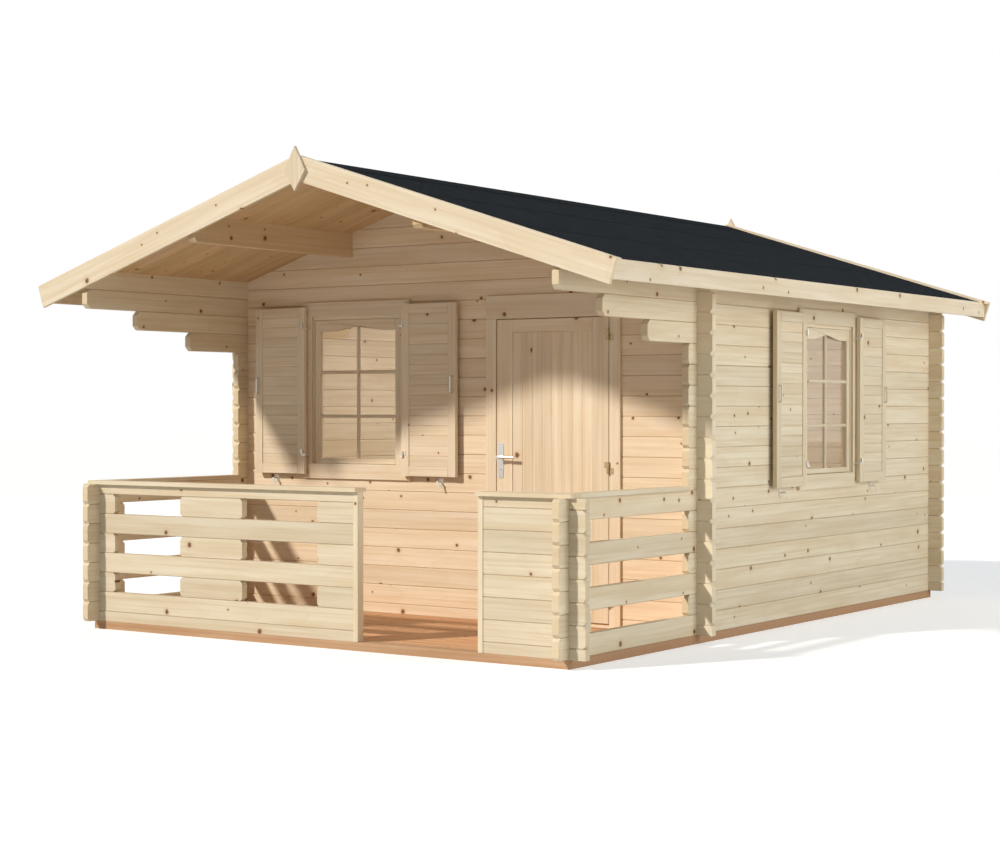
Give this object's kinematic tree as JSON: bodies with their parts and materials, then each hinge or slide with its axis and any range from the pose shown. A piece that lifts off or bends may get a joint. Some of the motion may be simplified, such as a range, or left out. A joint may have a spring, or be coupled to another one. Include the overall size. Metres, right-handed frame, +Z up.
{
  "type": "garden house",
  "caption": "Log cabin garden house with a covered, railed terrace under one gable roof, a boarded door, shuttered windows, shaped corbels and finials.",
  "frame": {"origin": "On the level ground under the base frame, midway between the two long walls and midway between the tips of the front and rear finials.", "axes": "+X to the right along the front as a person faces the entrance, +Y from the entrance to the back of the house, +Z up."},
  "size_m": [3.9844, 4.961, 2.6901],
  "materials": {
    "log_spruce": "planed spruce logs, unfinished, satin",
    "beam_wood": "rough sawn, pressure impregnated",
    "deck_wood": "stained boards, matte",
    "floor_wood": "planed boards, unfinished",
    "trim_wood": "planed, unfinished",
    "joinery_wood": "planed, lightly glazed",
    "roof_wood": "planed tongue and groove boards",
    "barge_wood": "planed, glazed",
    "roof_felt": "mineral granules on bitumen felt",
    "hinge_steel": "zinc plated steel",
    "lever_steel": "satin anodised",
    "window_glass": "clear float glass"
  },
  "bodies": {
    "house": {"base_frame": "beam_wood", "terrace_deck": "deck_wood", "cabin_floor": "floor_wood", "front_wall_base": "log_spruce", "front_wall_left": "log_spruce", "front_wall_middle": "log_spruce", "front_wall_right": "log_spruce", "back_wall": "log_spruce", "front_gable": "log_spruce", "back_gable": "log_spruce", "left_wall": "log_spruce", "right_wall_base": "log_spruce", "right_wall_front": "log_spruce", "right_wall_rear": "log_spruce", "left_corbel_logs": "log_spruce", "right_corbel_logs": "log_spruce", "left_top_logs": "log_spruce", "right_top_logs": "log_spruce", "left_rail": "log_spruce", "right_rail": "log_spruce", "front_rail_left": "log_spruce", "front_rail_right": "log_spruce", "rail_end_posts": "trim_wood", "rail_caps": "trim_wood", "purlins": "log_spruce", "roof_boards_left": "roof_wood", "roof_boards_right": "roof_wood", "roof_felt_left": "roof_felt", "roof_felt_right": "roof_felt", "eaves_fascias": "barge_wood", "bargeboards": "barge_wood", "cover_strips": "barge_wood", "finials": "trim_wood", "door_frame": "trim_wood", "door_hinge_pins": "hinge_steel", "window_frames": "trim_wood", "window_sashes": "joinery_wood", "window_glass": "window_glass", "shutter_pintles": "hinge_steel", "shutter_holdbacks": "hinge_steel"},
    "door": {"door_leaf": "joinery_wood", "door_fittings": "hinge_steel"},
    "door_lever": {"door_lever": "lever_steel"},
    "shutter_front_left": {"shutter_front_left": "joinery_wood", "shutter_fittings_front_left": "hinge_steel"},
    "shutter_front_right": {"shutter_front_right": "joinery_wood", "shutter_fittings_front_right": "hinge_steel"},
    "shutter_side_front": {"shutter_side_front": "joinery_wood", "shutter_fittings_side_front": "hinge_steel"},
    "shutter_side_rear": {"shutter_side_rear": "joinery_wood", "shutter_fittings_side_rear": "hinge_steel"}
  },
  "joints": [
    {"name": "door_hinge", "type": "hinge", "parent": "house", "child": "door", "pos_m": [1.0963, -1.0678, 0.955], "axis": [0, 0, 1], "range_deg": [0, 110]},
    {"name": "lever_turn", "type": "hinge", "parent": "door", "child": "door_lever", "pos_m": [0.3618, -1.0425, 1.006], "axis": [0, 1, 0], "range_deg": [0, 40], "stiffness_Nm_per_rad": 1, "springref_deg": -17.19},
    {"name": "shutter_front_left_hinge", "type": "hinge", "parent": "house", "child": "shutter_front_left", "pos_m": [-1.11454, -1.1005, 1.4], "axis": [0, 0, 1], "range_deg": [0, 180]},
    {"name": "shutter_front_right_hinge", "type": "hinge", "parent": "house", "child": "shutter_front_right", "pos_m": [-0.32954, -1.1005, 1.4], "axis": [0, 0, -1], "range_deg": [0, 180]},
    {"name": "shutter_side_front_hinge", "type": "hinge", "parent": "house", "child": "shutter_side_front", "pos_m": [1.708, 0.215, 1.343], "axis": [0, 0, 1], "range_deg": [0, 180]},
    {"name": "shutter_side_rear_hinge", "type": "hinge", "parent": "house", "child": "shutter_side_rear", "pos_m": [1.708, 1, 1.343], "axis": [0, 0, -1], "range_deg": [0, 180]}
  ]
}
